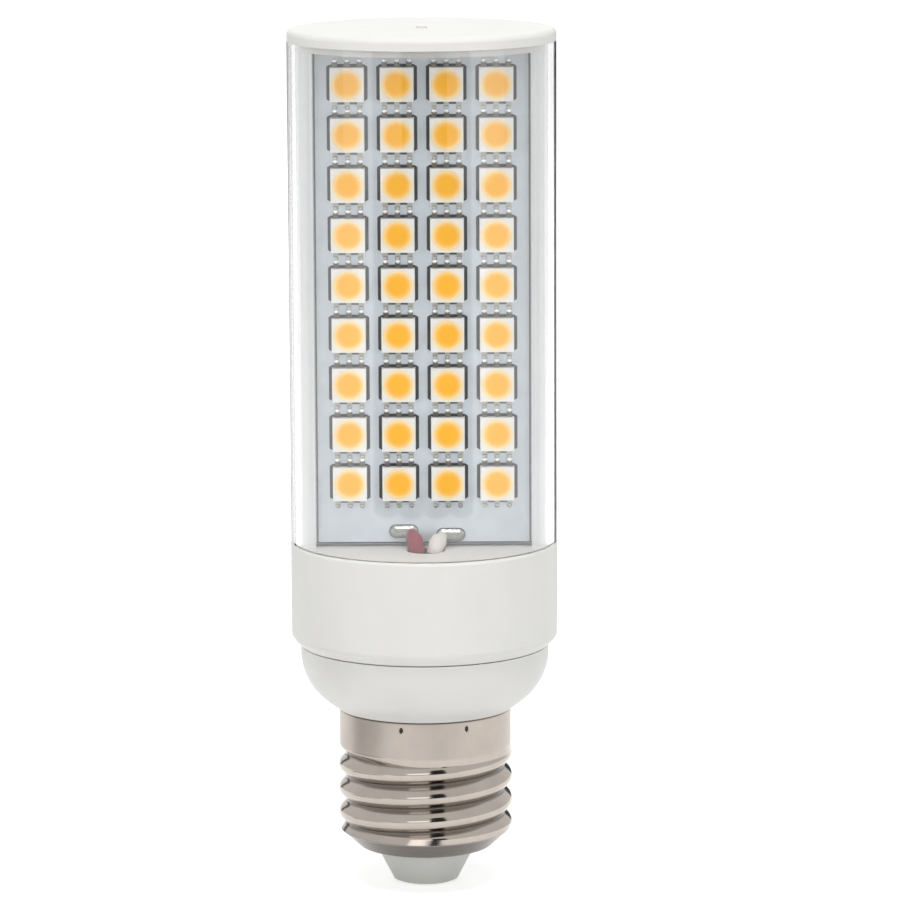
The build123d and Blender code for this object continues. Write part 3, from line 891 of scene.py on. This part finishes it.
def soft_lamp(name, place, aim, size, power, mirrored=False):
    """Rectangular soft light aimed at a height on the lamp's axis, shown in metal or not."""
    light = bpy.data.lights.new(name, "AREA")
    light.shape = "RECTANGLE"
    light.size, light.size_y = size
    light.energy = power
    lamp = bpy.data.objects.new(name, light)
    lamp.location = place
    lamp.rotation_euler = (Vector((0, 0, aim)) - Vector(place)).to_track_quat("-Z", "Y").to_euler()
    lamp.visible_glossy = mirrored
    bpy.context.scene.collection.objects.link(lamp)


def photo_camera():
    """Camera at the photo's distance, height, lens and slight roll."""
    camera = bpy.data.cameras.new("photo_camera")
    camera.sensor_width = CAMERA_SENSOR
    camera.lens = CAMERA_LENS
    camera.clip_start = CAMERA_CLIP
    holder = bpy.data.objects.new("photo_camera", camera)
    back = Vector((0, -math.cos(CAMERA_ELEVATION), math.sin(CAMERA_ELEVATION)))
    holder.location = CAMERA_TARGET + CAMERA_DISTANCE * back
    level = (-back).to_track_quat("-Z", "Y")
    holder.rotation_euler = (level @ Quaternion((0, 0, 1), CAMERA_ROLL)).to_euler()
    bpy.context.scene.collection.objects.link(holder)
    bpy.context.scene.camera = holder


pale_world(strength=0.55)
pale_floor(size=6.0, albedo=0.75, glow=0.6)

soft_lamp("key_light", (-0.02, -0.6, 0.2), aim=0.06, size=(0.5, 0.2), power=0.4, mirrored=True)
soft_lamp("top_light", (0, -0.25, 1.0), aim=0.06, size=(0.5, 0.5), power=6.2)
soft_lamp("left_fill", (-0.6, -0.6, 0.16), aim=0.09, size=(0.9, 0.3), power=1.0)
soft_lamp("right_fill", (0.65, -0.55, 0.16), aim=0.09, size=(0.9, 0.3), power=1.0)
soft_lamp("back_light", (0, 0.9, 0.5), aim=0.08, size=(0.9, 0.5), power=2.2)

near_edge = [(-0.235, -0.252), (-0.129, -0.32), (0, -0.345), (0.129, -0.32), (0.235, -0.252)]
far_edge = [(1.67, -1.8), (-1.67, -1.8)]
standing_card("front_card", 0.004, left=(0.04, -0.5), right=(0.22, -0.45), height=0.62)
floor_card("front_floor_card", 0.004, near_edge + far_edge, through_cover=True)
floor_card("left_floor_card", 0.15, [(-0.08, 0.03), (-0.074, -0.05), (-0.14, -0.1), (-0.17, 0.03)])
standing_card("left_card", 0.12, left=(-0.13, 0.169), right=(-0.11, 0.181), height=0.45)
standing_card("right_card", 0.004, left=(0.114, 0.42), right=(0.089, 0.16), height=0.45)

photo_camera()
bpy.context.scene.view_settings.view_transform = "Standard"
